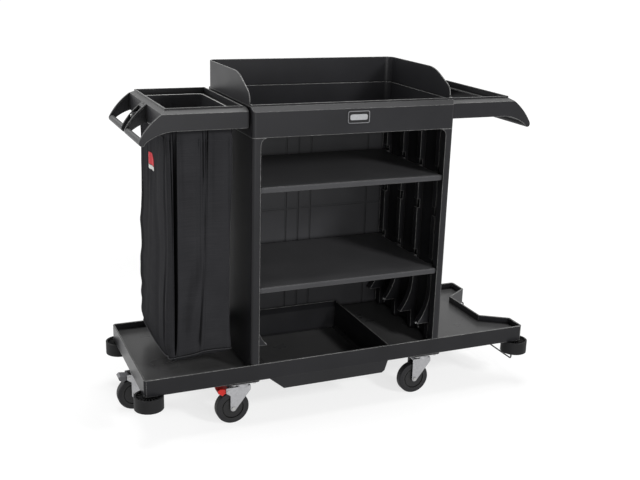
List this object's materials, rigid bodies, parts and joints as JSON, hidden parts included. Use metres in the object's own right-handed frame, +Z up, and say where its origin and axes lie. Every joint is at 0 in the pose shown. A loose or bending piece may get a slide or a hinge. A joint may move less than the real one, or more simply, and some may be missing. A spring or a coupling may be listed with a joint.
{
  "type": "housekeeping cart",
  "caption": "Open janitor and housekeeping cart with shelves under a hooded top tray, bag frames with grips at both ends, a hung laundry bag and a bumpered deck on swivel casters.",
  "frame": {"origin": "on the floor under the middle of the deck", "axes": "+Z up, +X to the notched end of the deck, +Y to the cabinet's closed back"},
  "size_m": [1.6095, 0.612, 1.272],
  "materials": {
    "housing": "grained moulded plastic",
    "inner_plastic": "grained moulded plastic",
    "bolt_steel": "zinc-plated",
    "grip_rubber": "ribbed rubber",
    "bag_cloth": "woven nylon",
    "black_wire": "black coating on bent wire",
    "bumper_rubber": "moulded rubber",
    "zinc_steel": "zinc-plated pressed steel",
    "wheel_plastic": "moulded plastic",
    "tyre_rubber": "smooth tread",
    "red_plastic": "moulded plastic",
    "grey_plastic": "moulded plastic"
  },
  "bodies": {
    "cart": {"base_deck": "housing", "left_side_panel": "housing", "right_side_panel": "housing", "top_tray": "housing", "hood": "housing", "left_bag_frame": "housing", "right_bag_frame": "housing", "back_panel": "inner_plastic", "upper_shelf": "inner_plastic", "lower_shelf": "inner_plastic", "left_grip_pin": "bolt_steel", "right_grip_pin": "bolt_steel", "bumper_bolts": "bolt_steel", "caster_bolts": "bolt_steel", "laundry_bag": "bag_cloth", "bag_floor": "bag_cloth", "wire_rest": "black_wire", "front_left_bumper": "bumper_rubber", "front_right_bumper": "bumper_rubber", "rear_left_bumper": "bumper_rubber", "rear_right_bumper": "bumper_rubber", "front_left_caster_plate": "zinc_steel", "front_right_caster_plate": "zinc_steel", "rear_left_caster_plate": "zinc_steel", "rear_right_caster_plate": "zinc_steel", "left_end_caster_plate": "zinc_steel"},
    "front_left_swivel": {"front_left_caster_fork": "zinc_steel", "front_left_caster_axle": "bolt_steel", "front_left_brake_pin": "bolt_steel"},
    "front_left_wheel": {"front_left_wheel_hub": "wheel_plastic", "front_left_wheel_tyre": "tyre_rubber"},
    "front_left_pedal": {"front_left_brake_pedal": "red_plastic"},
    "front_right_swivel": {"front_right_caster_fork": "zinc_steel", "front_right_caster_axle": "bolt_steel"},
    "front_right_wheel": {"front_right_wheel_hub": "wheel_plastic", "front_right_wheel_tyre": "tyre_rubber"},
    "rear_left_swivel": {"rear_left_caster_fork": "zinc_steel", "rear_left_caster_axle": "bolt_steel"},
    "rear_left_wheel": {"rear_left_wheel_hub": "wheel_plastic", "rear_left_wheel_tyre": "tyre_rubber"},
    "rear_right_swivel": {"rear_right_caster_fork": "zinc_steel", "rear_right_caster_axle": "bolt_steel"},
    "rear_right_wheel": {"rear_right_wheel_hub": "wheel_plastic", "rear_right_wheel_tyre": "tyre_rubber"},
    "left_end_swivel": {"left_end_caster_fork": "zinc_steel", "left_end_caster_axle": "bolt_steel", "left_end_brake_pin": "bolt_steel"},
    "left_end_wheel": {"left_end_wheel_hub": "wheel_plastic", "left_end_wheel_tyre": "tyre_rubber"},
    "left_end_pedal": {"left_end_brake_pedal": "grey_plastic"},
    "left_grip": {"left_grip_cam": "grip_rubber"},
    "right_grip": {"right_grip_cam": "grip_rubber"}
  },
  "joints": [
    {"name": "front_left_swivel", "type": "hinge", "parent": "cart", "child": "front_left_swivel", "pos_m": [-0.394, -0.2, 0.153], "axis": [0, 0, 1], "continuous": true},
    {"name": "front_left_spin", "type": "hinge", "parent": "front_left_swivel", "child": "front_left_wheel", "pos_m": [-0.433, -0.2, 0.0625], "axis": [0, 1, 0], "continuous": true},
    {"name": "front_left_brake", "type": "hinge", "parent": "front_left_swivel", "child": "front_left_pedal", "pos_m": [-0.452, -0.2, 0.134], "axis": [0, -1, 0], "range_deg": [0, 10]},
    {"name": "front_right_swivel", "type": "hinge", "parent": "cart", "child": "front_right_swivel", "pos_m": [0.356, -0.2, 0.153], "axis": [0, 0, 1], "continuous": true},
    {"name": "front_right_spin", "type": "hinge", "parent": "front_right_swivel", "child": "front_right_wheel", "pos_m": [0.317, -0.2, 0.0625], "axis": [0, 1, 0], "continuous": true},
    {"name": "rear_left_swivel", "type": "hinge", "parent": "cart", "child": "rear_left_swivel", "pos_m": [-0.394, 0.2, 0.153], "axis": [0, 0, 1], "continuous": true},
    {"name": "rear_left_spin", "type": "hinge", "parent": "rear_left_swivel", "child": "rear_left_wheel", "pos_m": [-0.433, 0.2, 0.0625], "axis": [0, 1, 0], "continuous": true},
    {"name": "rear_right_swivel", "type": "hinge", "parent": "cart", "child": "rear_right_swivel", "pos_m": [0.356, 0.2, 0.153], "axis": [0, 0, 1], "continuous": true},
    {"name": "rear_right_spin", "type": "hinge", "parent": "rear_right_swivel", "child": "rear_right_wheel", "pos_m": [0.317, 0.2, 0.0625], "axis": [0, 1, 0], "continuous": true},
    {"name": "left_end_swivel", "type": "hinge", "parent": "cart", "child": "left_end_swivel", "pos_m": [-0.706, 0.03, 0.153], "axis": [0, 0, 1], "continuous": true},
    {"name": "left_end_spin", "type": "hinge", "parent": "left_end_swivel", "child": "left_end_wheel", "pos_m": [-0.745, 0.03, 0.0625], "axis": [0, 1, 0], "continuous": true},
    {"name": "left_end_brake", "type": "hinge", "parent": "left_end_swivel", "child": "left_end_pedal", "pos_m": [-0.764, 0.03, 0.134], "axis": [0, -1, 0], "range_deg": [0, 10]},
    {"name": "left_grip", "type": "hinge", "parent": "cart", "child": "left_grip", "pos_m": [-0.707, 0.013, 1.1126], "axis": [-1, 0, 0], "range_deg": [0, 60], "stiffness_Nm_per_rad": 0.02},
    {"name": "right_grip", "type": "hinge", "parent": "cart", "child": "right_grip", "pos_m": [0.68, 0.013, 1.1126], "axis": [-1, 0, 0], "range_deg": [0, 60], "stiffness_Nm_per_rad": 0.02}
  ]
}
